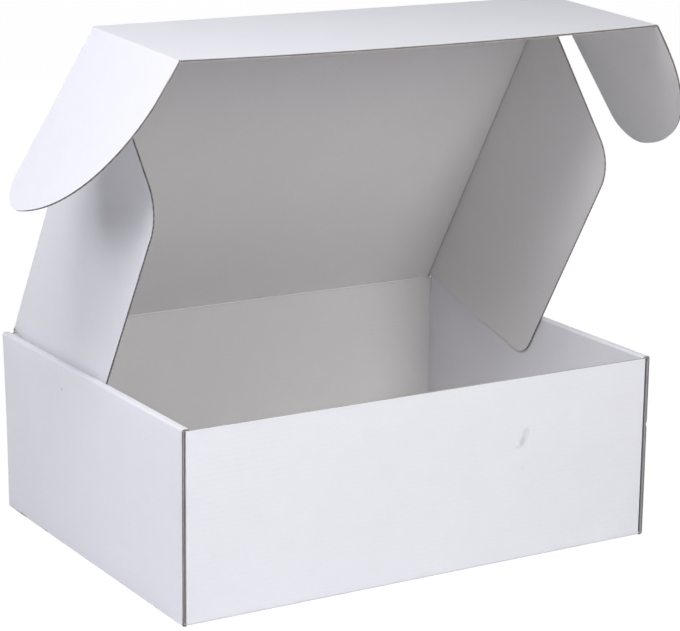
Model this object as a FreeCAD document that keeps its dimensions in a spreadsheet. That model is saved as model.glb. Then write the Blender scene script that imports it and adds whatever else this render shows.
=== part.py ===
import FreeCAD, Part
import os
import re

import Sketcher
from FreeCAD import Placement, Rotation, Vector

# Corrugated mailer box, cut and creased from one sheet of white E-flute board.
# The tray has double side walls: each outer wall rolls over a narrow top strip
# into an inner wall, whose two tabs lock in slots in the bottom panel. The front
# and back walls fold up between them and hold on by corner flaps inside the
# double walls. The lid folds on the back wall. Its dust flaps go down inside the
# tray, its tuck flap comes down in front of the front wall, and the two ears of
# the tuck flap slide into the pockets left inside the double side walls.
#
# Frame: origin on the table at the middle of the tray, X to the right, Y to the
# back, Z up. The box stands open, held by its creases.

os.makedirs("parts", exist_ok=True)
doc = FreeCAD.newDocument("mailer_box")

# Driving sizes, in millimetres and degrees.
SIZES = [
    ("board", 1.3, "thickness of the corrugated board"),
    ("tray_length", 330.0, "outside, left to right"),
    ("tray_depth", 245.0, "outside, front to back"),
    ("tray_height", 118.0, "table to the top of the side walls"),
    ("bend_radius", 1.6, "outer radius of the side walls' folded edges"),
    ("corner_radius", 1.0, "outer radius of the front and back walls' corners"),
    ("ear_play", 0.12, "clearance on each face of an ear in its pocket"),
    ("corner_flap_reach", 96.0, "corner flaps along the side walls"),
    ("crease_gap", 0.3, "board edge to board edge across a crease"),
    ("flap_play", 0.3, "dust flap to inner wall"),
    ("lid_lift", 0.2, "underside of the closed lid above the side walls"),
    ("tuck_play", 3.0, "closed tuck flap to the front wall"),
    ("lid_open_angle", 58.3, "lid above closed"),
    ("tuck_foot", 9.5, "closed tuck flap's free edge above the table"),
    ("tuck_fold_angle", 61.0, "tuck flap folded down from the plane of the lid"),
    ("dust_foot", 3.2, "closed dust flap's front corner above the bottom panel"),
    ("dust_droop", 2.2, "how much lower its rear corner is"),
    ("dust_front_gap", 4.5, "front end of the dust crease, from the tuck crease"),
    ("dust_front_slant", 38.3, "front corner of a dust flap, behind that end"),
    ("dust_rear_corner", 36.6, "rear corner of a dust flap, from the hinge"),
    ("dust_rear_end", 1.2, "rear end of the dust crease, from the hinge"),
    ("dust_front_radius", 26.0, "radius of the front corner"),
    ("dust_rear_radius", 14.0, "radius of the rear corner"),
    ("dust_fold_angle", 90.0, "dust flaps folded down from the plane of the lid"),
    ("ear_setback", 2.6, "straight edge of an ear below the tuck crease"),
    ("ear_slope", 1.7, "further setback at the far end of that edge"),
    ("ear_straight", 95.0, "length of an ear's straight edge"),
    ("ear_tip_radius", 18.9, "radius of an ear's tip"),
    ("ear_sweep_less", 5.2, "tuck height less the radius of the long curved edge"),
    ("left_ear_angle", 59.0, "left ear folded from the plane of the tuck flap"),
    ("right_ear_angle", 57.0, "right ear folded from the plane of the tuck flap"),
    ("tab_length", 38.0, "locking tab, along the side wall"),
    ("tab_offset", 62.0, "middle of each tab from the middle of the wall"),
    ("tab_play", 0.4, "free edge around each tab in its slot"),
    ("tab_recess", 0.2, "tab's end above the table"),
]

# Sizes that follow from the driving ones.
DERIVED = [
    ("pocket", "board + 2 * ear_play"),
    ("corner_face", "tray_length / 2 - board - pocket"),
    ("inner_face", "corner_face - 2 * board"),
    ("wall_top", "tray_height - board"),
    ("crease_pitch", "board + crease_gap"),
    ("dust_axis", "inner_face - flap_play - board / 2"),
    ("lid_side", "dust_axis - crease_pitch + board / 2"),
    ("ear_axis", "corner_face + pocket / 2"),
    ("tuck_side", "ear_axis - crease_pitch + board / 2"),
    ("hinge_back", "tray_depth / 2 - board / 2"),
    ("hinge_up", "tray_height + lid_lift + board / 2"),
    ("lid_depth", "tray_depth + tuck_play"),
    ("tuck_height", "hinge_up - tuck_foot"),
    ("dust_reach", "hinge_up - board - dust_foot"),
    ("dust_front_end", "lid_depth - dust_front_gap"),
    ("dust_front_corner", "dust_front_end - dust_front_slant"),
    ("ear_sweep_radius", "tuck_height - ear_sweep_less"),
    ("edge_radius", "board * 0.49"),
]

sheet = doc.addObject("Spreadsheet::Sheet", "sizes")
for row, (alias, amount, meaning) in enumerate(SIZES, 1):
    sheet.set("A%d" % row, meaning)
    sheet.set("B%d" % row, str(amount))
    sheet.setAlias("B%d" % row, alias)
doc.recompute()
for row, (alias, formula) in enumerate(DERIVED, len(SIZES) + 1):
    sheet.set("A%d" % row, "worked out from the sizes above")
    sheet.set("B%d" % row, "=" + formula)
    sheet.setAlias("B%d" % row, alias)
    doc.recompute()

ALIASES = re.compile(r"\b(%s)\b" % "|".join(entry[0] for entry in SIZES + DERIVED))


def linked(formula):
    """A formula of sizes, as an expression that reads them from the sheet."""
    return ALIASES.sub(r"sizes.\1", formula)


def value(formula):
    """What a formula of sizes comes to."""
    return float(sheet.evalExpression(linked(formula)))


def new_body(name):
    body = doc.addObject("PartDesign::Body", name)
    body.Label = name
    return body


def new_sketch(body, name, plane, offset="0"):
    """A sketch on one of the body's own origin planes, moved along its normal."""
    support = [f for f in body.Origin.OriginFeatures if f.Role == plane][0]
    sketch = body.newObject("Sketcher::SketchObject", name)
    sketch.AttachmentSupport = [(support, "")]
    sketch.MapMode = "FlatFace"
    if offset != "0":
        sketch.setExpression("AttachmentOffset.Base.z", linked(offset))
    return sketch


def bind(sketch, kind, places, formula):
    """One dimension of a sketch, tied to the sheet."""
    amount = value(formula)
    index = sketch.addConstraint(Sketcher.Constraint(kind, *places, amount))
    sketch.setExpression("Constraints[%d]" % index, linked(formula))


def pin(sketch, edge, end, across, up):
    """Ties one end of an edge to its place from the sketch's origin."""
    bind(sketch, "DistanceX", (-1, 1, edge, end), across)
    bind(sketch, "DistanceY", (-1, 1, edge, end), up)


def polygon(sketch, corners):
    """A closed outline of straight edges through corners given as formulas."""
    spots = [Vector(value(across), value(up), 0) for across, up in corners]
    edges = []
    for here, there in zip(spots, spots[1:] + spots[:1]):
        edges.append(sketch.addGeometry(Part.LineSegment(here, there), False))
    for index, edge in enumerate(edges):
        joint = Sketcher.Constraint("Coincident", edges[index - 1], 2, edge, 1)
        sketch.addConstraint(joint)
        pin(sketch, edge, 1, *corners[index])


def rectangle(sketch, left, right, low, high):
    polygon(sketch, [(left, low), (right, low), (right, high), (left, high)])


def pad(body, name, sketch, length, middle=False):
    """Adds material: up from the sketch, or half to each side of it."""
    feature = body.newObject("PartDesign::Pad", name)
    feature.Profile = sketch
    feature.setExpression("Length", linked(length))
    if middle:
        feature.SideType = "Symmetric"
    sketch.Visibility = False
    doc.recompute()
    return feature


def cut(body, name, sketch, length):
    """Takes material away, half the length to each side of the sketch."""
    before = body.Shape.Volume
    feature = body.newObject("PartDesign::Pocket", name)
    feature.Profile = sketch
    feature.setExpression("Length", linked(length))
    feature.SideType = "Symmetric"
    sketch.Visibility = False
    doc.recompute()
    if not body.Shape.Volume < before:
        raise RuntimeError(name + " cuts nothing")
    return feature


def fillet(body, name, radius, chosen):
    """Rounds the edges of the body for which chosen(start, end) is true."""
    base = body.Tip
    names = []
    for index, edge in enumerate(base.Shape.Edges, 1):
        if len(edge.Vertexes) != 2:
            continue
        start, end = (vertex.Point for vertex in edge.Vertexes)
        if chosen(start, end):
            names.append("Edge%d" % index)
    if not names:
        raise RuntimeError(name + " finds no edge")
    feature = body.newObject("PartDesign::Fillet", name)
    feature.Base = (base, names)
    feature.setExpression("Radius", linked(radius))
    doc.recompute()
    if "Invalid" in feature.State:
        raise RuntimeError(name + " can't be rounded")
    return feature


def close(one, other):
    return abs(one - other) < 1e-4


def section_corners():
    """The tray's section across its length: bottom, walls and top strips.

    The right half runs from the middle of the underside out, up and over, and
    back along the inside. The left half is the same, mirrored.
    """
    half = [
        ("tray_length / 2", "0"),
        ("tray_length / 2", "tray_height"),
        ("inner_face", "tray_height"),
        ("inner_face", "wall_top - board"),
        ("inner_face + board", "wall_top - board"),
        ("inner_face + board", "wall_top"),
        ("tray_length / 2 - board", "wall_top"),
        ("tray_length / 2 - board", "board"),
    ]
    mirrored = [("0 - (%s)" % across, up) for across, up in reversed(half)]
    return half + mirrored


def tray():
    body = new_body("tray")

    band = new_sketch(body, "band_section", "XZ_Plane")
    polygon(band, section_corners())
    pad(body, "outer_band", band, "tray_depth", middle=True)

    along = value("tray_depth")
    outer, top = value("tray_length / 2"), value("tray_height")

    def lengthwise(start, end):
        return close(abs(start.y - end.y), along)

    def rolled_edge(start, end):
        at_outside = close(abs(start.x), outer) and close(start.z, top)
        at_inside = close(abs(start.x), value("inner_face")) and close(start.z, top)
        at_foot = close(abs(start.x), outer) and close(start.z, 0)
        return lengthwise(start, end) and (at_outside or at_inside or at_foot)

    fillet(body, "rolled_edges", "bend_radius", rolled_edge)

    # Inner walls, shorter than the outer ones by the front and back walls.
    inner = new_sketch(body, "inner_wall_section", "XZ_Plane")
    under_roll = "wall_top - board"
    rectangle(inner, "inner_face", "inner_face + board", "board", under_roll)
    rectangle(inner, "0 - inner_face - board", "0 - inner_face", "board", under_roll)
    pad(body, "inner_walls", inner, "tray_depth - 2 * board", middle=True)

    # Front and back walls with their corner flaps, seen from above.
    walls = new_sketch(body, "end_wall_plan", "XY_Plane")
    for near, far, turn in (
        ("0 - tray_depth / 2", "board - tray_depth / 2", ""),
        ("tray_depth / 2", "tray_depth / 2 - board", "0 - "),
    ):
        reach = turn + "(corner_flap_reach - tray_depth / 2)"
        polygon(walls, [
            ("0 - corner_face", near),
            ("corner_face", near),
            ("corner_face", reach),
            ("corner_face - board", reach),
            ("corner_face - board", far),
            ("board - corner_face", far),
            ("board - corner_face", reach),
            ("0 - corner_face", reach),
        ])
    pad(body, "end_walls", walls, "wall_top")

    deep = value("tray_depth / 2")
    corner = value("corner_face")

    def corner_fold(start, end):
        upright = close(start.x, end.x) and close(start.y, end.y)
        return upright and close(abs(start.x), corner) and close(abs(start.y), deep)

    fillet(body, "corner_folds", "corner_radius", corner_fold)

    # The back wall stands higher where the lid folds on it.
    hinge = new_sketch(body, "hinge_edge_section", "YZ_Plane")
    rectangle(hinge, "tray_depth / 2 - board", "tray_depth / 2",
              "wall_top - board", "hinge_up - crease_pitch + board / 2")
    pad(body, "hinge_edge", hinge, "2 * lid_side", middle=True)
    hinge_top = value("hinge_up - crease_pitch + board / 2")
    lid_width = value("2 * lid_side")

    def hinge_rim(start, end):
        return close(start.z, hinge_top) and close(abs(start.x - end.x), lid_width)

    fillet(body, "hinge_rim", "edge_radius", hinge_rim)

    # Slots in the bottom panel, and the tabs of the inner walls in them.
    slots = new_sketch(body, "tab_slots", "XY_Plane")
    tabs = new_sketch(body, "tabs", "XY_Plane", "tab_recess")
    for side in ("", "0 - "):
        for place in ("tab_offset", "0 - tab_offset"):
            ends = [place + " - tab_length / 2", place + " + tab_length / 2"]
            faces = [side + "inner_face", side + "(inner_face + board)"]
            if side:
                faces.reverse()
            rectangle(slots, faces[0] + " - tab_play", faces[1] + " + tab_play",
                      ends[0] + " - tab_play", ends[1] + " + tab_play")
            rectangle(tabs, faces[0], faces[1], ends[0], ends[1])
    cut(body, "slots", slots, "2 * board")
    pad(body, "locking_tabs", tabs, "2 * board")
    return body


def sheet_edges(body, name, on_crease):
    """Rounds both rims of the creased edges of a flat panel."""
    half = value("board / 2")

    def rim(start, end):
        flat = close(abs(start.z), half) and close(start.z, end.z)
        return flat and on_crease(start, end)

    fillet(body, name, "edge_radius", rim)


def corner_round(body, name, radius, places):
    """Rounds the upright edges of a flat panel that stand at places."""
    spots = [(value(across), value(up)) for across, up in places]

    def upright(start, end):
        same = close(start.x, end.x) and close(start.y, end.y)
        return same and any(close(start.x, x) and close(start.y, y) for x, y in spots)

    fillet(body, name, radius, upright)


def lid():
    """The lid panel, flat in its own frame: hinge crease along X at the origin."""
    body = new_body("lid")
    outline = new_sketch(body, "lid_outline", "XY_Plane")
    front = "0 - (lid_depth - crease_pitch + board / 2)"
    step = "0 - (dust_front_end + 2 * crease_gap)"
    polygon(outline, [
        ("0 - lid_side", "board / 2"),
        ("0 - lid_side", step),
        ("0 - tuck_side", step),
        ("0 - tuck_side", front),
        ("tuck_side", front),
        ("tuck_side", step),
        ("lid_side", step),
        ("lid_side", "board / 2"),
    ])
    pad(body, "lid_panel", outline, "board", middle=True)
    rear, fore, side = value("board / 2"), value(front), value("lid_side")

    def creased(start, end):
        across = close(start.y, end.y) and (close(start.y, rear) or close(start.y, fore))
        along = close(start.x, end.x) and close(abs(start.x), side)
        return across or along

    sheet_edges(body, "lid_creases", creased)
    return body


def dust_flap(name, side):
    """A dust flap, flat: crease along Y at the origin, side is 1 or -1."""
    body = new_body(name)
    outline = new_sketch(body, "flap_outline", "XY_Plane")
    sign = "" if side > 0 else "0 - "
    crease = sign + "(0 - board / 2)"
    front = (sign + "dust_reach", "0 - dust_front_corner")
    rear = (sign + "(dust_reach + dust_droop)", "0 - dust_rear_corner")
    polygon(outline, [
        (crease, "0 - dust_rear_end"),
        (crease, "0 - dust_front_end"),
        front,
        rear,
    ])
    pad(body, "flap_panel", outline, "board", middle=True)
    corner_round(body, "front_corner", "dust_front_radius", [front])
    corner_round(body, "rear_corner", "dust_rear_radius", [rear])
    edge = value(crease)
    sheet_edges(body, "flap_crease",
                lambda start, end: close(start.x, edge) and close(end.x, edge))
    return body


def tuck_flap():
    """The tuck flap, flat: its crease with the lid along X at the origin."""
    body = new_body("tuck_flap")
    outline = new_sketch(body, "tuck_outline", "XY_Plane")
    rectangle(outline, "0 - tuck_side", "tuck_side", "0 - tuck_height", "board / 2")
    pad(body, "tuck_panel", outline, "board", middle=True)
    rear, side = value("board / 2"), value("tuck_side")

    def creased(start, end):
        across = close(start.y, rear) and close(end.y, rear)
        along = close(start.x, end.x) and close(abs(start.x), side)
        return across or along

    sheet_edges(body, "tuck_creases", creased)
    return body


def ear(name, side):
    """An ear, flat: crease along Y at the origin, side is 1 or -1.

    Its straight edge lies next to the lid. The rest is a quarter round, so that
    it turns into its pocket about the tuck crease.
    """
    body = new_body(name)
    outline = new_sketch(body, "ear_outline", "XY_Plane")
    root = value("0 - board / 2") * side
    reach = value("ear_straight") * side
    head = value("ear_setback")
    far = value("ear_setback + ear_slope")
    foot = value("tuck_height")
    tip_round, sweep_round = value("ear_tip_radius"), value("ear_sweep_radius")

    # First guess for the arcs: the tip's centre stands off the straight edge.
    tip = Vector(reach, -far - tip_round, 0)
    gap = Vector(root, -foot, 0) - tip
    lead, trail = sweep_round - tip_round, sweep_round
    share = (lead ** 2 - trail ** 2 + gap.Length ** 2) / (2 * gap.Length)
    lift = max(lead ** 2 - share ** 2, 0.0) ** 0.5
    forward = Vector(gap).normalize()
    sideways = Vector(forward.y, -forward.x, 0) * side
    middle = tip + forward * share + sideways * lift
    meeting = tip + (tip - middle).normalize() * tip_round

    start = Vector(root, -head, 0)
    end_of_edge = Vector(reach, -far, 0)
    finish = Vector(root, -foot, 0)
    halfway = tip + ((end_of_edge + meeting) * 0.5 - tip).normalize() * tip_round
    bulge = middle + ((meeting + finish) * 0.5 - middle).normalize() * sweep_round

    edge = outline.addGeometry(Part.LineSegment(start, end_of_edge), False)
    small = outline.addGeometry(Part.Arc(end_of_edge, halfway, meeting), False)
    large = outline.addGeometry(Part.Arc(meeting, bulge, finish), False)
    crease = outline.addGeometry(Part.LineSegment(finish, start), False)
    # An arc keeps its ends counter-clockwise, so the two sides name them apart.
    first, last = (2, 1) if side > 0 else (1, 2)
    for one, one_end, other, other_end in (
        (edge, 2, small, first), (small, last, large, first),
        (large, last, crease, 1), (crease, 2, edge, 1),
    ):
        joint = Sketcher.Constraint("Coincident", one, one_end, other, other_end)
        outline.addConstraint(joint)
    outline.addConstraint(Sketcher.Constraint("Tangent", edge, small))
    outline.addConstraint(Sketcher.Constraint("Tangent", small, large))
    sign = "" if side > 0 else "0 - "
    pin(outline, edge, 1, sign + "(0 - board / 2)", "0 - ear_setback")
    pin(outline, edge, 2, sign + "ear_straight", "0 - ear_setback - ear_slope")
    pin(outline, crease, 1, sign + "(0 - board / 2)", "0 - tuck_height")
    bind(outline, "Radius", (small,), "ear_tip_radius")
    bind(outline, "Radius", (large,), "ear_sweep_radius")
    pad(body, "ear_panel", outline, "board", middle=True)
    sheet_edges(body, "ear_crease",
                lambda a, b: close(a.x, root) and close(b.x, root))
    return body


def turned(across, back, up, axis, angle):
    """A place and a turn in the frame of the panel that carries the crease."""
    spot = Vector(value(across), value(back), value(up))
    return Placement(spot, Rotation(axis, value(angle)))


X_AXIS = Vector(1, 0, 0)
Y_AXIS = Vector(0, 1, 0)

parts = {
    "tray": tray(),
    "lid": lid(),
    "dust_flap_left": dust_flap("dust_flap_left", -1),
    "dust_flap_right": dust_flap("dust_flap_right", 1),
    "tuck_flap": tuck_flap(),
    "ear_left": ear("ear_left", -1),
    "ear_right": ear("ear_right", 1),
}

lid_place = turned("0", "hinge_back", "hinge_up", X_AXIS, "0 - lid_open_angle")
tuck_place = lid_place * turned("0", "0 - lid_depth", "0", X_AXIS, "tuck_fold_angle")
places = {
    "lid": lid_place,
    "dust_flap_left": lid_place * turned("0 - dust_axis", "0", "0", Y_AXIS, "0 - dust_fold_angle"),
    "dust_flap_right": lid_place * turned("dust_axis", "0", "0", Y_AXIS, "dust_fold_angle"),
    "tuck_flap": tuck_place,
    "ear_left": tuck_place * turned("0 - ear_axis", "0", "0", Y_AXIS, "0 - left_ear_angle"),
    "ear_right": tuck_place * turned("ear_axis", "0", "0", Y_AXIS, "right_ear_angle"),
}
for name, place in places.items():
    parts[name].Placement = place
doc.recompute()

for item in doc.Objects:
    if "Invalid" in item.State or "Error" in item.State:
        raise RuntimeError(item.Name + " failed to recompute")
for name, body in parts.items():
    shape = body.Shape
    if shape.isNull() or not shape.isValid() or len(shape.Solids) != 1:
        raise RuntimeError(name + " is not one valid solid")
    print(name, round(shape.Volume), shape.BoundBox)

for name, body in parts.items():
    body.Shape.exportStep("parts/%s.step" % name)

# Where the creases lie and point at rest, for the joints.
for name, place in places.items():
    direction = place.Rotation.multVec(X_AXIS if name in ("lid", "tuck_flap") else Y_AXIS)
    print(name, "crease at", place.Base, "along", direction)
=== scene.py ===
# %% [markdown]
# A white mailer box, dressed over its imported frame
#
# The box is cut and creased from one sheet of corrugated board: two paper liners
# with a fluted paper glued between them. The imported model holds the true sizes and
# the hinges. This lesson rebuilds each panel as the board it really is, liners and
# flutes, so that the cut edges show what they show on the table.

import math
import bpy
from mathutils import Matrix, Vector


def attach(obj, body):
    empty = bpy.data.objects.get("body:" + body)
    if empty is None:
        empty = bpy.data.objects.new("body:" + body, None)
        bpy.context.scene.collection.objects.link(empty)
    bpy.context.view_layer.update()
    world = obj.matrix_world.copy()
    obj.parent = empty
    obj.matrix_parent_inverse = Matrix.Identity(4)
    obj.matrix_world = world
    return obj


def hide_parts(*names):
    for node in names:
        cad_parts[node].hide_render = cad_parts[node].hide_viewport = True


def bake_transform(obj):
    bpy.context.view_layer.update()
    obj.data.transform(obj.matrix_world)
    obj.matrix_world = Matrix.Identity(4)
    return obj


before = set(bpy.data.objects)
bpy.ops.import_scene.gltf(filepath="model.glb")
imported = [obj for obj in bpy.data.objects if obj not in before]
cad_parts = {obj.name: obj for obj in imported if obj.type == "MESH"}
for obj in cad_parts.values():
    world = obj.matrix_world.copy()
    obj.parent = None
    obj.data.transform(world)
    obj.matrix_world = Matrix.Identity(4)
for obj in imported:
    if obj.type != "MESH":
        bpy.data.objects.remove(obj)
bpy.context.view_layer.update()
print("nodes", sorted(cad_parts))

# %% [markdown]
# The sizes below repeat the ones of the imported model, in millimetres. Every panel
# is drawn in millimetres and turned into metres once, when its mesh is made.
# CORNER and INNER are the places of the front wall's corner and of the side wall's
# inner face, and PITCH is how far a parent's edge stands off its crease.

# %% Sizes
MM = 0.001
BOARD = 1.3
LINER = 0.22
FLUTE = 3.3
HALF = BOARD / 2
LENGTH, DEPTH, HEIGHT = 330.0, 245.0, 118.0
BEND = 1.6
CORNER_BEND = 1.0
POCKET = BOARD + 2 * 0.12
CORNER = LENGTH / 2 - BOARD - POCKET
INNER = CORNER - 2 * BOARD
WALL_TOP = HEIGHT - BOARD
FOOT_X = LENGTH / 2 - BEND - 0.4
PITCH = BOARD + 0.3
DUST_AXIS = INNER - 0.3 - HALF
EAR_AXIS = CORNER + POCKET / 2
HINGE = Vector((0, DEPTH / 2 - HALF, HEIGHT + 0.2 + HALF))
LID_DEPTH = DEPTH + 3.0
LID_HALF = DUST_AXIS - PITCH
DUST_FRONT = LID_DEPTH - 4.5
TUCK = HINGE.z - 9.5
TUCK_HALF = EAR_AXIS - PITCH
print("lid", LID_DEPTH, "tuck", TUCK, "ear crease at", EAR_AXIS)

# %% [markdown]
# Each panel lies flat in a frame of its own, with its crease on one axis. A frame
# is a matrix, and a flap's frame is its parent's frame, moved to the crease and
# turned by the fold. That is how the real blank folds, panel by panel.

# %% Panel frames
def turn(across, back, axis, degrees):
    """A move in the parent's plane and a turn about the crease there."""
    spin = Matrix.Rotation(math.radians(degrees), 4, axis)
    return Matrix.Translation((across, back, 0)) @ spin


OPENING = 58.3
FOLDS = {"lid": 90 - OPENING, "tuck": 61.0, "dust": 90.0, "left": 59.0, "right": 57.0}
lid_frame = Matrix.Translation(HINGE) @ turn(0, 0, "X", -OPENING)
tuck_frame = lid_frame @ turn(0, -LID_DEPTH, "X", FOLDS["tuck"])
dust_frames = {s: lid_frame @ turn(s * DUST_AXIS, 0, "Y", s * 90) for s in (-1, 1)}
ear_frames = {
    -1: tuck_frame @ turn(-EAR_AXIS, 0, "Y", -FOLDS["left"]),
    1: tuck_frame @ turn(EAR_AXIS, 0, "Y", FOLDS["right"]),
}
print("tuck crease at", tuck_frame.translation)

# %% [markdown]
# Shader maths reads best as a formula. The small class below wraps a node's output,
# and its operators add Math nodes. Every other node comes from one method, which
# sets the node's own settings first and then its sockets.

# %% Shader sockets as values
class Signal:
    """An output socket that can be added, multiplied and so on."""

    def __init__(self, tree, output):
        self.tree = tree
        self.output = output

    def maths(self, operation, first, second=0.0):
        settings = {"operation": operation}
        return node(self.tree, "ShaderNodeMath", settings, {0: first, 1: second})

    def __add__(self, other):
        return self.maths("ADD", self, other)

    def __sub__(self, other):
        return self.maths("SUBTRACT", self, other)

    def __mul__(self, other):
        return self.maths("MULTIPLY", self, other)

    def __truediv__(self, other):
        return self.maths("DIVIDE", self, other)

    def at_least(self, other):
        return self.maths("MAXIMUM", self, other)

    def wave(self):
        return self.maths("SINE", self)

    def size(self):
        return self.maths("ABSOLUTE", self)

    def soft_step(self, start, end):
        """0 at start, 1 at end, smooth between them. start may be the larger."""
        settings = {"interpolation_type": "SMOOTHSTEP"}
        low, high = min(start, end), max(start, end)
        ends = (0.0, 1.0) if start < end else (1.0, 0.0)
        sockets = {0: self, 1: low, 2: high, 3: ends[0], 4: ends[1]}
        return node(self.tree, "ShaderNodeMapRange", settings, sockets)


def node(tree, kind, settings=None, sockets=None, output=0):
    """Adds a node: settings first, then socket values or links."""
    made = tree.nodes.new(kind)
    for key, setting in (settings or {}).items():
        setattr(made, key, setting)
    for key, given in (sockets or {}).items():
        if isinstance(given, Signal):
            tree.links.new(given.output, made.inputs[key])
        else:
            made.inputs[key].default_value = given
    return Signal(tree, made.outputs[output])


def blend_colours(tree, share, first, second):
    return node(tree, "ShaderNodeMix", {"data_type": "RGBA"},
                {0: share, 6: first, 7: second}, output=2)


def own_place(tree):
    """The place on the piece itself, in metres."""
    return node(tree, "ShaderNodeTexCoord", output=3)


def in_millimetres(tree, place):
    """The three axes of a place, each as a signal in millimetres."""
    split = tree.nodes.new("ShaderNodeSeparateXYZ")
    tree.links.new(place.output, split.inputs[0])
    return [Signal(tree, output) / MM for output in split.outputs]

# %% [markdown]
# The liner is bleached paper over a greyer ply. Close up it is never one flat
# white: fibres and the glue lines of the flutes show through as a faint mottle,
# and the flutes leave a very low washboard. The washboard needs to know how far a
# point lies across the flutes, so each mesh stores that distance per vertex, and
# the material reads it as an attribute.

# %% Liner material
def liner_finish(name, tint, marks_and_shade=None, mark_and_shade_colour=(0.45, 0.45, 0.46, 1.0)):
    """White board paper. The optional mask function gives, 0 to 1, where marks and painted
    shade grey the colour.
    """
    material = bpy.data.materials.new(name)
    material.use_nodes = True
    tree = material.node_tree
    shader = tree.nodes["Principled BSDF"]
    place = own_place(tree)
    flutes = node(tree, "ShaderNodeAttribute", {"attribute_name": "across"}, output=2)
    ripple = (flutes * (2 * math.pi / FLUTE)).wave()
    clouds = node(tree, "ShaderNodeTexNoise", None,
                  {"Vector": place, "Scale": 30.0, "Detail": 5.0, "Roughness": 0.72})
    fibres = node(tree, "ShaderNodeTexNoise", None,
                  {"Vector": place, "Scale": 900.0, "Detail": 3.0, "Roughness": 0.7})
    flecks = node(tree, "ShaderNodeTexNoise", None,
                  {"Vector": place, "Scale": 2100.0, "Detail": 1.0})
    mottle = (clouds - 0.5) * 0.13 + (fibres - 0.5) * 0.08 + ripple * 0.006
    tone = (mottle + 0.5).soft_step(0.36, 0.64)
    dull = [shade * 0.94 for shade in tint] + [1.0]
    clean = [min(shade * 1.03, 1.0) for shade in tint] + [1.0]
    colour = blend_colours(tree, tone, dull, clean)
    speck = flecks.soft_step(0.70, 0.78) * 0.15
    colour = blend_colours(tree, speck, colour, (0.45, 0.43, 0.42, 1.0))
    # Marks and painted shade: the mask blends the colour towards a grey.
    if marks_and_shade:
        mask = marks_and_shade(tree, place, in_millimetres(tree, place))
        colour = blend_colours(tree, mask, colour, mark_and_shade_colour)
    tree.links.new(colour.output, shader.inputs["Base Color"])
    rough = fibres * 0.16 + 0.66
    tree.links.new(rough.output, shader.inputs["Roughness"])
    shader.inputs["Specular IOR Level"].default_value = 0.35
    height = ripple * 0.020 + (fibres - 0.5) * 0.02 + (clouds - 0.5) * 0.06
    relief = node(tree, "ShaderNodeBump", None,
                  {"Strength": 0.35, "Distance": 0.001, "Height": height})
    tree.links.new(relief.output, shader.inputs["Normal"])
    return material


OUTSIDE_TINT = (0.80, 0.80, 0.834)
INSIDE_TINT = (0.75, 0.735, 0.732)
outside_white = liner_finish("outside_white", OUTSIDE_TINT)
inside_white = liner_finish("inside_white", INSIDE_TINT)
print("liners", outside_white.name, inside_white.name)

# %% [markdown]
# The box has been handled. The front wall has a short slanted dent, and the shade in the dent
# is painted grey into the wall's colour, with a fainter grey stroke below it. The left wall is
# darker along stretches of its foot and has one dark fleck near the top. The shade inside the
# pockets that take the ears is painted grey at their mouths, and so is the shade on the front
# wall's corner beside them. Each is a soft mask placed in millimetres, with a noise added where
# its rim is ragged.

# %% Marks of handling and painted shade
DENT_START, DENT_END = (72.2, 83.0), (68.7, 74.3)
FRONT_FACE = -DEPTH / 2
LEFT_FACE = -LENGTH / 2


def stroke(across, up, start, end, width):
    """A soft slanted line between two places of an upright panel."""
    way = Vector(end) - Vector(start)
    length = way.length
    way.normalize()
    run = (across - start[0]) * way.x + (up - start[1]) * way.y
    aside = (across - start[0]) * -way.y + (up - start[1]) * way.x
    beyond = ((run - length / 2).size() - length / 2).at_least(0.0)
    return (aside.size() + beyond).soft_step(width * 0.8, width * 0.05)


def ragged(tree, place, scale):
    return node(tree, "ShaderNodeTexNoise", None,
                {"Vector": place, "Scale": scale, "Detail": 3.0}) - 0.5


def front_shade_and_marks(tree, place, axes):
    x, y, z = axes
    noise = ragged(tree, place, 420.0) * 1.6
    # Painted shade: the dent, deep and tail strokes grey the dent's shade into the front wall's
    # colour.
    dent = stroke(x + noise, z + noise, DENT_START, DENT_END, 4.4) * 0.26
    deep = stroke(x + noise, z, (69.9, 77.8), (68.5, 74.2), 3.8) * 0.26
    tail = stroke(x + noise, z, (68.2, 73.8), (65.6, 72.9), 2.0) * 0.32
    below = stroke(x + noise, z, (70.6, 60.6), (70.1, 57.8), 1.8) * 0.12
    on_front = y.soft_step(FRONT_FACE + 1.5, FRONT_FACE + 0.9)
    # Painted shade: the corner flap's face just inside each pocket mouth is greyed, where the
    # narrow slot lies in shade.
    slot_shade = x.size().soft_step(161.7, 162.1) * y.soft_step(FRONT_FACE + 0.3,
                                                          FRONT_FACE + 0.8)
    return (((dent + deep).at_least(tail) + below) * on_front).at_least(slot_shade * 0.35)


def pocket_painted_shade(tree, place, axes):
    x, y, z = axes
    # Painted shade: the outer wall's inner face is greyed at the pocket mouths, where the
    # narrow slot lies in shade.
    return x.size().soft_step(162.5, 163.2) * y.size().soft_step(117.0, 120.0)


def left_marks(tree, place, axes):
    x, y, z = axes
    noise = ragged(tree, place, 160.0)
    rear = y.soft_step(30.0, 44.0) * y.soft_step(121.0, 116.0)
    front = y.soft_step(-60.0, -66.0) * y.soft_step(-92.0, -84.0)
    foot = (z + noise * 4.0).soft_step(2.0, 0.7) * (rear + front) * 0.75
    patchy = ragged(tree, place, 70.0).soft_step(-0.12, 0.10)
    fleck = stroke(y + noise * 2.0, z, (34.9, 101.9), (35.6, 101.8), 1.3) * 0.45
    return (foot * patchy).at_least(fleck) * x.soft_step(LEFT_FACE + 1.8, LEFT_FACE + 1.4)


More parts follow.
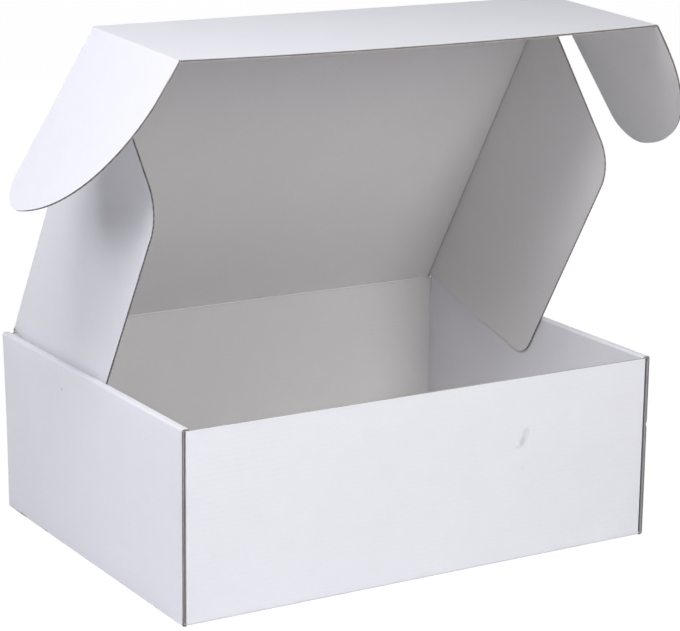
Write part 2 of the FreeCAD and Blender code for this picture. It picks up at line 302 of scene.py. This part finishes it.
front_white = liner_finish("front_white", OUTSIDE_TINT, front_shade_and_marks)
left_white = liner_finish("left_white", OUTSIDE_TINT, left_marks,
                          (0.16, 0.145, 0.13, 1.0))
pocket_white = liner_finish("pocket_white", INSIDE_TINT, pocket_painted_shade)
print("marked liners", front_white.name, left_white.name, pocket_white.name)

# %% [markdown]
# Behind the white surface the liner is grey, and the fluted paper is darker
# recycled stock. Both are seen only where the board is cut. They are a colour with
# a fibre noise, rough and without any shine.

# %% Cut paper materials
def raw_paper(name, light, dark):
    """Paper as its cut edge shows it, in patches between a light and a dark tone."""
    material = bpy.data.materials.new(name)
    material.use_nodes = True
    tree = material.node_tree
    shader = tree.nodes["Principled BSDF"]
    place = own_place(tree)
    fibres = node(tree, "ShaderNodeTexNoise", None,
                  {"Vector": place, "Scale": 1400.0, "Detail": 3.0, "Roughness": 0.7})
    patches = node(tree, "ShaderNodeTexNoise", None,
                   {"Vector": place, "Scale": 60.0, "Detail": 2.0})
    tone = (fibres * 0.6 + patches * 0.4).soft_step(0.35, 0.65)
    colour = blend_colours(tree, tone, dark + (1.0,), light + (1.0,))
    tree.links.new(colour.output, shader.inputs["Base Color"])
    rough = patches * 0.1 + 0.82
    tree.links.new(rough.output, shader.inputs["Roughness"])
    shader.inputs["Specular IOR Level"].default_value = 0.2
    relief = node(tree, "ShaderNodeBump", None,
                  {"Strength": 0.5, "Distance": 0.0002, "Height": fibres})
    tree.links.new(relief.output, shader.inputs["Normal"])
    return material


cut_edge = raw_paper("cut_edge", (0.58, 0.55, 0.505), (0.43, 0.405, 0.37))
fluting = raw_paper("fluting", (0.31, 0.28, 0.245), (0.20, 0.18, 0.155))
FINISHES = {
    "outside": outside_white,
    "inside": inside_white,
    "front": front_white,
    "left": left_white,
    "pocket": pocket_white,
    "cut": cut_edge,
    "flute": fluting,
}
print("cut papers", cut_edge.name, fluting.name)

# %% [markdown]
# A panel of board is three thin slabs: the outer liner, the inner liner and the
# fluted paper, which is a slab whose middle follows a sine. One class collects
# them. It is given a function that bends the flat sheet into its place: u and v
# run along the sheet and w is the height above its middle. Cells can be left out
# for slots and steps, and each open side of the cells gets a cut edge. FLUTED_HALF
# is half the thickness of the fluted paper.

# %% The board class
FLUTED_HALF = 0.07


class BoardPiece:
    def __init__(self, place, across, outside="outside", inside="inside"):
        self.place = place
        self.across = across
        self.outside, self.inside = outside, inside
        self.points, self.distance = [], []
        self.faces, self.finish = [], []

    def mirrored(self, us, vs):
        """Whether place turns a right-handed sheet into a left-handed one."""
        u, v = (us[0] + us[-1]) / 2 + 0.01, (vs[0] + vs[-1]) / 2 + 0.01
        spot = self.place(u, v, 0)
        along = self.place(u + 0.01, v, 0) - spot
        aside = self.place(u, v + 0.01, 0) - spot
        return along.cross(aside).dot(self.place(u, v, 0.1) - spot) < 0

    def slab(self, us, vs, low, high, finishes, keep=None):
        start, n, m = len(self.points), len(us), len(vs)
        for level in (low, high):
            for u in us:
                for v in vs:
                    w = level(u, v) if callable(level) else level
                    self.points.append(self.place(u, v, w))
                    self.distance.append(self.across(u, v))
        cells = {(i, j) for i in range(n - 1) for j in range(m - 1)
                 if not keep or keep((us[i] + us[i + 1]) / 2, (vs[j] + vs[j + 1]) / 2)}
        turned = self.mirrored(us, vs)

        def face(corners, finish):
            ring = [start + k * n * m + i * m + j for i, j, k in corners]
            self.faces.append(ring[::-1] if turned else ring)
            self.finish.append(finish)

        top, bottom, edge = finishes
        for i, j in sorted(cells):
            a, b = i + 1, j + 1
            face([(i, j, 1), (a, j, 1), (a, b, 1), (i, b, 1)], top)
            face([(i, j, 0), (i, b, 0), (a, b, 0), (a, j, 0)], bottom)
            if (i - 1, j) not in cells:
                face([(i, j, 0), (i, j, 1), (i, b, 1), (i, b, 0)], edge)
            if (a, j) not in cells:
                face([(a, j, 0), (a, b, 0), (a, b, 1), (a, j, 1)], edge)
            if (i, j - 1) not in cells:
                face([(i, j, 0), (a, j, 0), (a, j, 1), (i, j, 1)], edge)
            if (i, b) not in cells:
                face([(i, b, 0), (i, b, 1), (a, b, 1), (a, b, 0)], edge)

    def liners(self, us, vs, keep=None):
        self.slab(us, vs, HALF - LINER, HALF, (self.outside, "cut", "cut"), keep)
        self.slab(us, vs, -HALF, LINER - HALF, ("cut", self.inside, "cut"), keep)

    def flutes(self, us, vs, keep=None):
        swing = HALF - LINER - FLUTED_HALF

        def middle(u, v):
            return swing * math.sin(2 * math.pi * self.across(u, v) / FLUTE)

        self.slab(us, vs, lambda u, v: middle(u, v) - FLUTED_HALF,
                  lambda u, v: middle(u, v) + FLUTED_HALF, ("flute",) * 3, keep)

    def make(self, name):
        mesh = bpy.data.meshes.new(name)
        mesh.from_pydata([p * MM for p in self.points], [], self.faces)
        used = sorted(set(self.finish))
        for key in used:
            mesh.materials.append(FINISHES[key])
        for polygon, key in zip(mesh.polygons, self.finish):
            polygon.material_index = used.index(key)
            polygon.use_smooth = True
        mesh.set_sharp_from_angle(angle=math.radians(32))
        stored = mesh.attributes.new("across", "FLOAT", "POINT")
        stored.data.foreach_set("value", self.distance)
        made = bpy.data.objects.new(name, mesh)
        bpy.context.scene.collection.objects.link(made)
        print(name, len(mesh.polygons), "faces")
        return made


def steps(start, end, size):
    """Evenly spaced places from start to end, about size apart."""
    count = max(1, round(abs(end - start) / size))
    return [start + (end - start) * k / count for k in range(count + 1)]


def flute_steps(start, end):
    return steps(start, end, FLUTE / 8)

# %% [markdown]
# A fold that has been made for good, such as the roll-over of a side wall, is a
# path of straight runs and bends. Pressed board bends tightly: its outer liner goes
# round a small arc and its inner liner crowds into the corner. So each sample holds
# a point on the board's middle and the vector across the board there.

# %% Folded paths
def folded_path(corners, radius, run=12.0):
    """Samples (x, y, across x, across y, length). Every fold turns left."""
    spots = [Vector(corner) for corner in corners]
    samples = []

    def add(outer, inner):
        middle, across = (outer + inner) / 2, (outer - inner) / BOARD
        length = 0.0
        if samples:
            step = (middle - Vector(samples[-1][:2])).length
            if step < 1e-6:
                return
            length = samples[-1][4] + step
        samples.append((middle.x, middle.y, across.x, across.y, length))

    start = spots[0]
    for here, bend, after in zip(spots, spots[1:], spots[2:] + [None]):
        heading = (bend - here).normalized()
        normal = Vector((heading.y, -heading.x)) * HALF
        end = bend
        if after:
            onward = (after - bend).normalized()
            swing = heading.angle(onward)
            mitre = (Vector((heading.y, -heading.x)) + Vector((onward.y, -onward.x)))
            mitre /= 1 + heading.dot(onward)
            reach = (max(radius, BOARD) - HALF) * math.tan(swing / 2)
            end = bend - heading * reach
        for share in steps(0, 1, run / max((end - start).length, run)):
            point = start.lerp(end, share)
            add(point + normal, point - normal)
        if after:
            centre = bend + mitre * (HALF - radius)
            for k in range(7):
                way = Matrix.Rotation(swing * k / 6, 2) @ normal / HALF
                inner = centre + way * max(radius - BOARD, 0)
                if radius < BOARD:
                    inner = bend - mitre * HALF
                add(centre + way * radius, inner)
            start = bend + onward * reach
    return samples


def on_path(samples, length):
    """Middle and across vector of a path at one of its samples, or between two."""
    for before, after in zip(samples, samples[1:]):
        if length <= after[4] + 1e-9:
            break
    share = (length - before[4]) / max(after[4] - before[4], 1e-9)
    mixed = [a + (b - a) * share for a, b in zip(before, after)]
    return Vector(mixed[:2]), Vector(mixed[2:4])


wall_path = folded_path(
    [(FOOT_X, HALF), (LENGTH / 2 - HALF, HALF),
     (LENGTH / 2 - HALF, HEIGHT - HALF), (INNER + HALF, HEIGHT - HALF),
     (INNER + HALF, BOARD + 0.05)], BEND)
print("side wall path", round(wall_path[-1][4], 1), "mm in", len(wall_path), "samples")

# %% [markdown]
# The side walls carry the most. Board comes up from the bottom, rolls over a
# narrow strip at the top and goes down again inside. In the photograph the left
# wall leans out a little towards the back, as a real one does when it is only
# held at its tabs, so the place function adds a lean to each wall. The right wall's
# front edge has been knocked in at one height.

# %% Side walls
WALL_LEAN = {-1: 2.0, 1: 0.6}
NICK_HEIGHT = 73.3


def nick(height, y):
    """How far the knock in the right wall's front edge pushes the board in."""
    edge = math.exp(-((y + DEPTH / 2) / 1.6) ** 2)
    return 0.75 * edge * math.exp(-((height - NICK_HEIGHT) / 1.3) ** 2)


def side_wall(side):
    lean = WALL_LEAN[side]

    def place(u, v, w):
        point, normal = on_path(wall_path, u)
        spot = point + normal * w
        rise = max(spot.y, 0) / HEIGHT
        back = (v / DEPTH + 0.5) ** 1.5
        shift = lean * rise * rise * back
        if side > 0 and w > 0 and spot.x > CORNER:
            shift -= nick(spot.y, v)
        return Vector((side * (spot.x + shift), v, spot.y))

    piece = BoardPiece(place, lambda u, v: v, "left" if side < 0 else "outside",
                       "pocket")
    lengths = [sample[4] for sample in wall_path]
    lip = max(s[4] for s in wall_path if s[1] > WALL_TOP - 0.06)
    if side > 0:
        foot = next(s for s in wall_path if s[3] == 0 and s[1] > HALF)
        lengths += [foot[4] + z - foot[1] for z in steps(69, 78, 0.75)]
    lengths.sort()
    outer = [length for length in lengths if length <= lip]
    inner = [length for length in lengths if length >= lip]
    deep, short = DEPTH / 2, DEPTH / 2 - BOARD - 0.05
    piece.liners(outer, sorted({*steps(-deep, deep, 12), *steps(-deep, 3 - deep, 0.6)}))
    piece.liners(inner, steps(-short, short, 12))
    for end in (-1, 1):
        piece.flutes(outer, flute_steps(end * (deep - 3 * FLUTE), end * deep)[::end])
        piece.flutes(inner, flute_steps(end * (short - 2 * FLUTE), end * short)[::end])
    return piece.make("side_wall_" + ("left" if side < 0 else "right"))


side_walls = [side_wall(side) for side in (-1, 1)]

# %% [markdown]
# The bottom panel has four slots, where the tabs of the inner walls lock. The
# cells of the sheet that fall on a slot are left out, and a strip in front and
# behind is left out too, because there the board bends up into the end walls.

# %% Bottom panel and its slots
TAB_MIDDLE, TAB_HALF, SLOT_PLAY = 62, 19, 0.4
SLOT_X = (INNER - SLOT_PLAY, INNER + BOARD + SLOT_PLAY)
SLOT_Y = (TAB_MIDDLE - TAB_HALF - SLOT_PLAY, TAB_MIDDLE + TAB_HALF + SLOT_PLAY)


def in_slot(x, y):
    return SLOT_X[0] < abs(x) < SLOT_X[1] and SLOT_Y[0] < abs(y) < SLOT_Y[1]


def bottom_cell(x, y):
    beside_wall = abs(x) > CORNER
    return not in_slot(x, y) and (beside_wall or abs(y) < DEPTH / 2 - BEND)


def both_ways(*distances):
    return sorted({sign * d for d in distances for sign in (-1, 1)})


bottom = BoardPiece(lambda u, v, w: Vector((u, v, HALF - w)), lambda u, v: v)
bottom_x = both_ways(FOOT_X, CORNER, *SLOT_X, 140, 100, 60, 20)
bottom_y = both_ways(DEPTH / 2, DEPTH / 2 - BEND, *SLOT_Y, 20, TAB_MIDDLE, 100)
bottom.liners(bottom_x, bottom_y, bottom_cell)
bottom.flutes(both_ways(FOOT_X, CORNER, *SLOT_X),
              flute_steps(-DEPTH / 2 + BEND, DEPTH / 2 - BEND), bottom_cell)
bottom_panel = bottom.make("bottom_panel")

tabs = []
TAB_RISE = [0.2, 1.4]
for side in (-1, 1):
    for middle in (-TAB_MIDDLE, TAB_MIDDLE):
        tab = BoardPiece(lambda u, v, w, s=side: Vector((s * (INNER + HALF - w), v, u)),
                         lambda u, v: v)
        tab.liners(TAB_RISE, [middle - TAB_HALF, middle + TAB_HALF])
        tab.flutes(TAB_RISE, flute_steps(middle - TAB_HALF, middle + TAB_HALF))
        tabs.append(tab.make("tab_%d" % (len(tabs) + 1)))

# %% [markdown]
# The front and back walls stand between the side walls. Seen from above each is a
# wide U: the wall, two rounded corners and two corner flaps inside the double side
# walls. The back wall goes on up to the lid's crease. The front wall is pressed in
# at the dent, where its samples lie close together.

# %% Front and back walls
FLAP_REACH = 96.0
DENT_X = (62.0, 79.0)
DENT_Z = (67.0, 88.0)


def press(x, z):
    """Depth of the dent in the front wall, a short slanted groove."""
    start, end = Vector(DENT_START), Vector(DENT_END)
    along = end - start
    share = (Vector((x, z)) - start).dot(along) / along.length_squared
    nearest = start + along * min(max(share, 0.0), 1.0)
    return 0.2 * math.exp(-((Vector((x, z)) - nearest).length / 1.4) ** 2)


def end_wall(side, name):
    """The front wall for side -1, the back wall for side 1."""
    x, y = CORNER - HALF, DEPTH / 2 - HALF
    reach = DEPTH / 2 - FLAP_REACH
    path = folded_path([(-x, -reach), (-x, -y), (x, -y), (x, -reach)], CORNER_BEND, 8.0)
    middle = path[-1][4] / 2

    def place(u, v, w):
        point, normal = on_path(path, u)
        spot = point + normal * w
        dent = press(spot.x, v) if side < 0 and normal.y < -0.99 and w > 0 else 0.0
        return Vector((spot.x, -side * (spot.y + dent), v))

    hinge_half = LID_HALF + HALF
    us = {s[4] for s in path} | {middle - hinge_half, middle + hinge_half}
    vs = set(steps(BEND, WALL_TOP, 9))
    if side > 0:
        vs.add(HINGE.z - PITCH)
    else:
        us |= {middle + x for x in steps(*DENT_X, 0.8)}
        vs |= set(steps(*DENT_Z, 0.8))

    def keep(u, v):
        return v < WALL_TOP or abs(u - middle) < hinge_half

    piece = BoardPiece(place, lambda u, v: v, "front" if side < 0 else "outside")
    piece.liners(sorted(us), sorted(vs), keep)
    piece.flutes([s[4] for s in path], flute_steps(WALL_TOP - 4 * FLUTE, WALL_TOP))
    return piece.make(name)


front_wall = end_wall(-1, "front_wall")
back_wall = end_wall(1, "back_wall")

# %% [markdown]
# Between the bottom and each end wall the board bends through a right angle. That
# bend is a short path of its own, seen from the side, and runs between the corners.

# %% Bends at the foot of the end walls
def foot_bend(side, name):
    y = DEPTH / 2 - HALF
    path = folded_path([(-y, BEND), (-y, HALF), (BEND - DEPTH / 2, HALF)], BEND)

    def place(u, v, w):
        point, normal = on_path(path, u)
        spot = point + normal * w
        return Vector((v, -side * spot.x, spot.y))

    piece = BoardPiece(place, lambda u, v: u)
    piece.liners([s[4] for s in path], steps(-CORNER, CORNER, 20))
    return piece.make(name)


foot_bends = [foot_bend(-1, "front_foot_bend"), foot_bend(1, "back_foot_bend")]

# %% [markdown]
# The lid is a flat panel. Its front strip is wider than the rest, because the tuck
# flap's ears have their creases further out than the dust flaps. The flutes run
# from left to right, so the sine goes from front to back.

# %% Lid and tuck flap
STEP = DUST_FRONT + 0.6
SAG = 1.9


def flat_place(matrix):
    return lambda u, v, w: matrix @ Vector((u, v, w))


def lid_cell(x, y):
    return abs(x) < LID_HALF or y < -STEP


lid = BoardPiece(flat_place(lid_frame), lambda u, v: v)
lid_y = sorted(set(steps(-STEP, 0, 12)) | {PITCH - LID_DEPTH})
lid.liners(both_ways(TUCK_HALF + HALF, LID_HALF, *steps(6, 150, 12)), lid_y, lid_cell)
lid.flutes([-LID_HALF, LID_HALF], flute_steps(-STEP, 0))
lid.flutes([-TUCK_HALF - HALF, TUCK_HALF + HALF], flute_steps(PITCH - LID_DEPTH, -STEP))
lid_panel = lid.make("lid_panel")


def tuck_place(u, v, w):
    """The tuck flap's free edge sags in the middle, between the stiff ears."""
    sag = SAG * (v / TUCK) ** 2 * (1 - (u / TUCK_HALF) ** 2)
    return tuck_frame @ Vector((u, v, w - sag))


tuck = BoardPiece(tuck_place, lambda u, v: v)
tuck_x = steps(-TUCK_HALF, TUCK_HALF, 12)
tuck.liners(tuck_x, steps(-TUCK, 0, 10))
tuck.flutes(tuck_x, flute_steps(-TUCK, 0))
tuck_panel = tuck.make("tuck_panel")

# %% [markdown]
# The dust flaps and the ears have shaped outlines. Each is drawn as an outline of
# straight runs and arcs. For every place along the crease the outline says how far
# the flap reaches, and the sheet's cells are stretched to that reach.

# %% Outlines of the flaps
def arc_between(centre, radius, first, last, count=14):
    start = math.atan2(first[1] - centre[1], first[0] - centre[0])
    end = math.atan2(last[1] - centre[1], last[0] - centre[0])
    swing = (end - start + math.pi) % (2 * math.pi) - math.pi
    return [(centre[0] + radius * math.cos(start + swing * k / count),
             centre[1] + radius * math.sin(start + swing * k / count))
            for k in range(count + 1)]


def round_corner(before, corner, after, radius):
    """Points of the arc that rounds a corner."""
    here = Vector(corner)
    back, on = (Vector(before) - here).normalized(), (Vector(after) - here).normalized()
    half = back.angle(on) / 2
    centre = here + (back + on).normalized() * radius / math.sin(half)
    touch = radius / math.tan(half)
    return arc_between(centre, radius, here + back * touch, here + on * touch)


DUST_REACH = HINGE.z - BOARD - 3.2
FRONT_ROUND, REAR_ROUND = 26.0, 14.0
dust_ends = [(DUST_FRONT, -HALF), (DUST_FRONT - 38.3, DUST_REACH),
             (36.6, DUST_REACH + 2.2), (1.2, -HALF)]
dust_outline = (dust_ends[:1]
                + round_corner(dust_ends[0], dust_ends[1], dust_ends[2], FRONT_ROUND)
                + round_corner(dust_ends[1], dust_ends[2], dust_ends[3], REAR_ROUND)
                + dust_ends[3:])


def ear_outline():
    start, turning = (2.6, -HALF), (4.3, 95.0)
    tip_radius, sweep_radius = 18.9, TUCK - 5.2
    slope = (Vector(turning) - Vector(start)).normalized()
    tip = Vector(turning) + Vector((slope.y, -slope.x)) * tip_radius
    finish = Vector((TUCK, -HALF))
    gap = finish - tip
    lead = sweep_radius - tip_radius
    share = (lead ** 2 - sweep_radius ** 2 + gap.length ** 2) / (2 * gap.length)
    lift = math.sqrt(lead ** 2 - share ** 2)
    forward = gap.normalized()
    middle = tip + forward * share + Vector((-forward.y, forward.x)) * -lift
    meeting = tip + (tip - middle).normalized() * tip_radius
    return ([start] + arc_between(tip, tip_radius, turning, meeting)
            + arc_between(middle, sweep_radius, meeting, finish, 40))


ear_points = ear_outline()
print("ear reaches", round(max(v for u, v in ear_points), 1), "mm")

# %% [markdown]
# A dust flap hangs square to the lid, and an ear is still folded back from the
# tuck flap. Both use the same function, once for each side.

# %% Dust flaps and ears
def shaped_flap(name, matrix, side, outline):
    knots = sorted(outline)

    def reach(u):
        for (u0, v0), (u1, v1) in zip(knots, knots[1:]):
            if u <= u1:
                return v0 + (v1 - v0) * (u - u0) / max(u1 - u0, 1e-9)
        return knots[-1][1]

    def place(u, v, w):
        return matrix @ Vector((side * reach(u) * v, -u, w))

    piece = BoardPiece(place, lambda u, v: u)
    first, last = knots[0][0], knots[-1][0]
    stations = sorted({round(u, 4) for u, v in knots} | set(steps(first, last, 8)))
    piece.liners(stations, steps(0, 1, 0.125))
    piece.flutes(sorted(set(flute_steps(first, last)) | set(stations)), [0, 1])
    return piece.make(name)


flaps = {}
for side, word in ((-1, "left"), (1, "right")):
    flaps["dust_flap_" + word] = shaped_flap(
        "dust_panel_" + word, dust_frames[side], side, dust_outline)
    flaps["ear_" + word] = shaped_flap(
        "ear_panel_" + word, ear_frames[side], side, ear_points)

# %% [markdown]
# At a crease the board is pressed thin and the two liners carry the fold. The outer liner runs
# on and wraps round the edge of the flap. The inner liner is pushed into a small bead. Both are
# strips, laid round the crease at its present fold.

# %% Crease strips
def crease(name, matrix, inward, fold, ends, lap=0.0):
    """Lays the two strips of one crease.

    matrix is the parent's frame at the crease and inward points to the parent. lap
    is how far the outer strip runs on over the parent's own liner.
    """
    axis = Vector((0, 0, 1)).cross(inward)
    outer = HALF - LINER / 2
    angle = math.radians(fold)

    def spot(along, up):
        return inward * along + Vector((0, 0, 1)) * up

    flap_up = spot(-math.sin(angle), math.cos(angle))
    wrap = [(spot(PITCH + lap, outer + lap / 10), spot(0, 1)),
            (spot(PITCH / 2, outer), spot(0, 1))]
    for k in range(7):
        lean = angle * k / 6
        normal = spot(-math.sin(lean), math.cos(lean))
        wrap.append((normal * outer, normal))
    rim, flap_rim = spot(PITCH, -outer), -outer * flap_up
    inner_way = -(spot(0, 1) + flap_up).normalized()
    bead = []
    for k in range(9):
        share = k / 8
        bulge = 0.5 * math.sin(math.pi * share) ** 0.8
        point = rim.lerp(flap_rim, share) + inner_way * bulge
        facing = (spot(0, 1).lerp(flap_up, share)).normalized()
        bead.append((point, facing))
    strips = (("wrap", wrap, wrap[2][0], ("outside", "cut", "cut")),
              ("bead", bead, bead[0][0], ("cut", "inside", "cut")))
    for label, line, start, finishes in strips:
        def place(u, v, w, line=line):
            low = min(int(u), len(line) - 2)
            share = u - low
            point = line[low][0].lerp(line[low + 1][0], share)
            facing = line[low][1].lerp(line[low + 1][1], share).normalized()
            return matrix @ (point + facing * w + axis * v)

        piece = BoardPiece(place, lambda u, v: 0.0)
        piece.slab(list(range(len(line))), steps(ends[0], ends[1], 15),
                   -LINER / 2, LINER / 2, finishes)
        strip = piece.make(name + "_" + label)
        first, last = matrix @ start, matrix @ line[-1][0]
        first * MM
        last * MM
        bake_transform(strip)


upright = Matrix.Translation(HINGE) @ Matrix.Rotation(math.radians(-90), 4, "X")
lid_edge = DUST_AXIS + 0.6
crease("hinge", upright, Vector((0, 1, 0)), FOLDS["lid"],
       (-lid_edge, lid_edge), lap=0.5)
tuck_crease = lid_frame @ Matrix.Translation((0, -LID_DEPTH, 0))
crease("tuck_crease", tuck_crease, Vector((0, 1, 0)),
       FOLDS["tuck"], (-TUCK_HALF - HALF, TUCK_HALF + HALF))
for side, word in ((-1, "left"), (1, "right")):
    toward = Vector((-side, 0, 0))
    dust_crease = lid_frame @ Matrix.Translation((side * DUST_AXIS, 0, 0))
    ends = sorted((side * -0.5, side * DUST_FRONT))
    crease("dust_crease_" + word, dust_crease, toward,
           FOLDS["dust"], ends)
    ear_crease = tuck_frame @ Matrix.Translation((side * EAR_AXIS, 0, 0))
    ends = sorted((side * 0.9, side * TUCK))
    crease("ear_crease_" + word, ear_crease, toward,
           FOLDS[word], ends)

# %% [markdown]
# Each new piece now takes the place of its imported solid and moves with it. The
# solids stay in the file for the collision, unseen.

# %% Ride the bodies
tray_pieces = [*side_walls, bottom_panel, *tabs, front_wall, back_wall, *foot_bends]
riding = [(piece, "tray") for piece in tray_pieces]
riding += [(lid_panel, "lid"), (tuck_panel, "tuck_flap")]
riding += [(piece, body) for body, piece in flaps.items()]
for piece, body in riding:
    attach(piece, body)
for piece, node_name in ((front_wall, "tray"), (lid_panel, "lid"),
                         (tuck_panel, "tuck_flap"), *((p, b) for b, p in flaps.items())):
    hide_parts(node_name)
print(len(riding), "pieces ride")

# %% [markdown]
# The photograph has a plain white ground. The floor is a pale plane. To the camera
# nine tenths of its light is a glow that comes out white, and the rest is lamp
# light, so a soft shadow stays.

# %% Floor and surroundings
GLOW_SHARE = 0.9
AMBIENT = 0.03

floor_mesh = bpy.data.meshes.new("floor")
floor_mesh.from_pydata([(-4, -4, 0), (4, -4, 0), (4, 4, 0), (-4, 4, 0)], [],
                       [(0, 1, 2, 3)])
floor = bpy.data.objects.new("floor", floor_mesh)
bpy.context.scene.collection.objects.link(floor)

pale = bpy.data.materials.new("pale_floor")
pale.use_nodes = True
tree = pale.node_tree
lit = tree.nodes["Principled BSDF"]
lit.inputs["Base Color"].default_value = (0.70, 0.70, 0.71, 1)
lit.inputs["Roughness"].default_value = 0.9
glow = node(tree, "ShaderNodeEmission", None, {"Color": (1, 1, 1, 1), "Strength": 1.09})
rays = tree.nodes.new("ShaderNodeLightPath")
seen = Signal(tree, rays.outputs["Is Camera Ray"])
shine = Signal(tree, rays.outputs["Is Glossy Ray"])
surface = node(tree, "ShaderNodeMixShader", None,
               {0: seen.at_least(shine) * GLOW_SHARE, 1: Signal(tree, lit.outputs[0]), 2: glow})
tree.links.new(surface.output, tree.nodes["Material Output"].inputs["Surface"])
floor_mesh.materials.append(pale)

world = bpy.data.worlds.new("studio")
bpy.context.scene.world = world
world.use_nodes = True
tree = world.node_tree
tree.nodes.clear()
rays = tree.nodes.new("ShaderNodeLightPath")
seen = Signal(tree, rays.outputs["Is Camera Ray"]).at_least(
    Signal(tree, rays.outputs["Is Glossy Ray"]))
around = node(tree, "ShaderNodeBackground", None,
              {"Color": (1, 1, 1, 1), "Strength": seen * (1 - AMBIENT) + AMBIENT})
output = tree.nodes.new("ShaderNodeOutputWorld")
tree.links.new(around.output, output.inputs["Surface"])

# %% [markdown]
# The light is soft and comes from three sides: high over the left corner, low from
# the left with a weak lamp beside it, and low in front. The strengths are worked
# out from the greys of the photographed walls, lid and flaps, which all face the
# lamps at different angles. The lamps stand near, so the walls get darker towards
# the back. Two low lamps behind and at the right are for the views from there.

# %% Lamps
def soft_light(name, direction, distance, size, power, colour=(1, 1, 1)):
    lamp = bpy.data.lights.new(name, "AREA")
    lamp.shape = "DISK"
    lamp.size = size
    lamp.energy = power
    lamp.color = colour
    made = bpy.data.objects.new(name, lamp)
    way = Vector(direction).normalized()
    made.location = Vector((0, 0, 0.15)) + way * distance
    made.rotation_euler = way.to_track_quat("Z", "Y").to_euler()
    bpy.context.scene.collection.objects.link(made)


soft_light("key", (-0.5, -0.45, 0.85), 1.4, 0.6, 9.9, (0.99, 0.99, 1.03))
soft_light("side", (-0.9, -0.1, 0.45), 1.4, 0.6, 4.8, (0.98, 0.98, 1.05))
soft_light("corner", (-0.8, -0.5, 0.5), 1.2, 0.5, 2.1, (0.98, 0.98, 1.05))
soft_light("front", (0.15, -0.9, 0.45), 1.4, 0.6, 8.5)
soft_light("behind", (0.45, 0.89, 0.0), 1.8, 0.28, 8.0)
soft_light("right", (0.98, -0.05, 0.0), 1.8, 0.28, 4.0)
print("lamps ready")

# %% [markdown]
# The camera stands where the photographer's did, worked out from the corners and
# creases of the box. The lens is long, so the box shows little perspective.

# %% Camera
PHOTO_WIDTH, PHOTO_HEIGHT = 680, 631
FOCAL_PIXELS = 2480.4
CENTRE_X, CENTRE_Y = 341.3, 317.0
CAMERA_PLACE = (-777.6, -1305.3, 525.7)

lens = bpy.data.cameras.new("camera")
lens.sensor_width = 36
lens.lens = FOCAL_PIXELS / PHOTO_WIDTH * lens.sensor_width
lens.shift_x = (PHOTO_WIDTH / 2 - CENTRE_X) / PHOTO_WIDTH
lens.shift_y = (CENTRE_Y - PHOTO_HEIGHT / 2) / PHOTO_WIDTH
lens.clip_end = 20
camera = bpy.data.objects.new("camera", lens)
look = Vector((0.5017, 0.8285, -0.2487)).normalized()
right = Vector((0.8569, -0.5153, 0.0121))
right = (right - look * right.dot(look)).normalized()
upward = right.cross(look)
turned = Matrix((right, upward, -look)).transposed().to_4x4()
camera.matrix_world = Matrix.Translation(Vector(CAMERA_PLACE) * MM) @ turned
bpy.context.scene.collection.objects.link(camera)
bpy.context.scene.camera = camera
bpy.context.scene.view_settings.view_transform = "Standard"
print("camera", camera.location)
